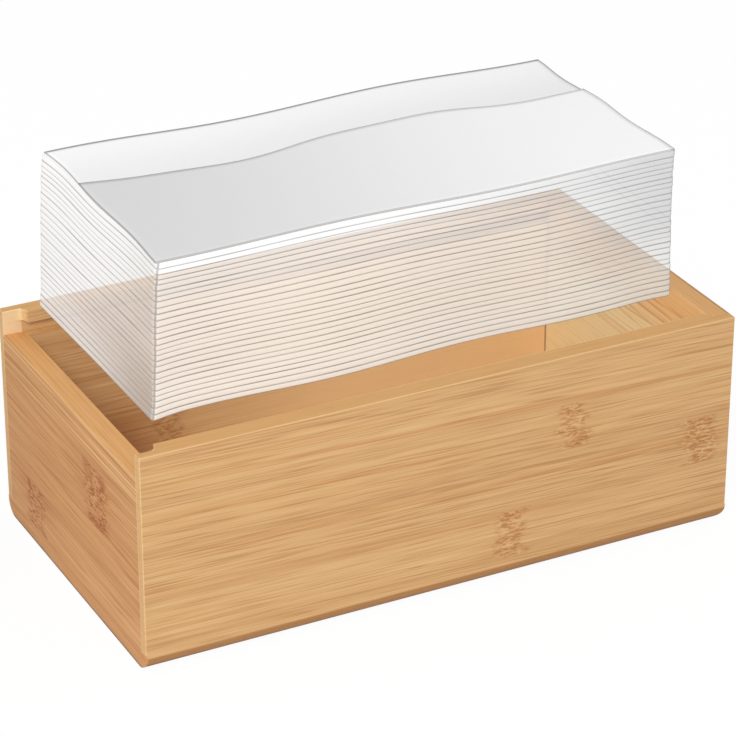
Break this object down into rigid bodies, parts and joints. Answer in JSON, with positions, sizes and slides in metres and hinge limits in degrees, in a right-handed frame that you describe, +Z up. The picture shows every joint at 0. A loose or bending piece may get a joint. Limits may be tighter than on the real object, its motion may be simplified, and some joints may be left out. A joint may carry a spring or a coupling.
{
  "type": "tissue box",
  "caption": "Long bamboo tissue box with a slotted sliding cover drawn out and its pack of folded tissues lifted ready to load.",
  "frame": {"origin": "middle of the box's underside, on the surface it stands on", "axes": "+X along the box's length, towards the closed full-height end; +Y from the front long wall to the back one; +Z up"},
  "size_m": [0.5527, 0.136, 0.1587],
  "materials": {
    "bamboo_front": "satin",
    "bamboo_back": "satin",
    "bamboo_left_end": "satin",
    "bamboo_right_end": "satin",
    "bamboo_base": "satin",
    "bamboo_cover": "satin",
    "tissue": "matte"
  },
  "bodies": {
    "box": {"base_panel": "bamboo_base", "front_wall": "bamboo_front", "back_wall": "bamboo_back", "left_end_wall": "bamboo_left_end", "right_end_wall": "bamboo_right_end"},
    "cover": {"cover": "bamboo_cover"},
    "tissues": {"tissue_stack": "tissue", "top_tissue": "tissue"}
  },
  "joints": [
    {"name": "cover_slide", "type": "slide", "parent": "box", "child": "cover", "axis": [1, 0, 0], "range_m": [0, 0.3027]},
    {"name": "pack_lift", "type": "slide", "parent": "box", "child": "tissues", "axis": [0, 0, 1], "range_m": [-0.087, 0]}
  ]
}
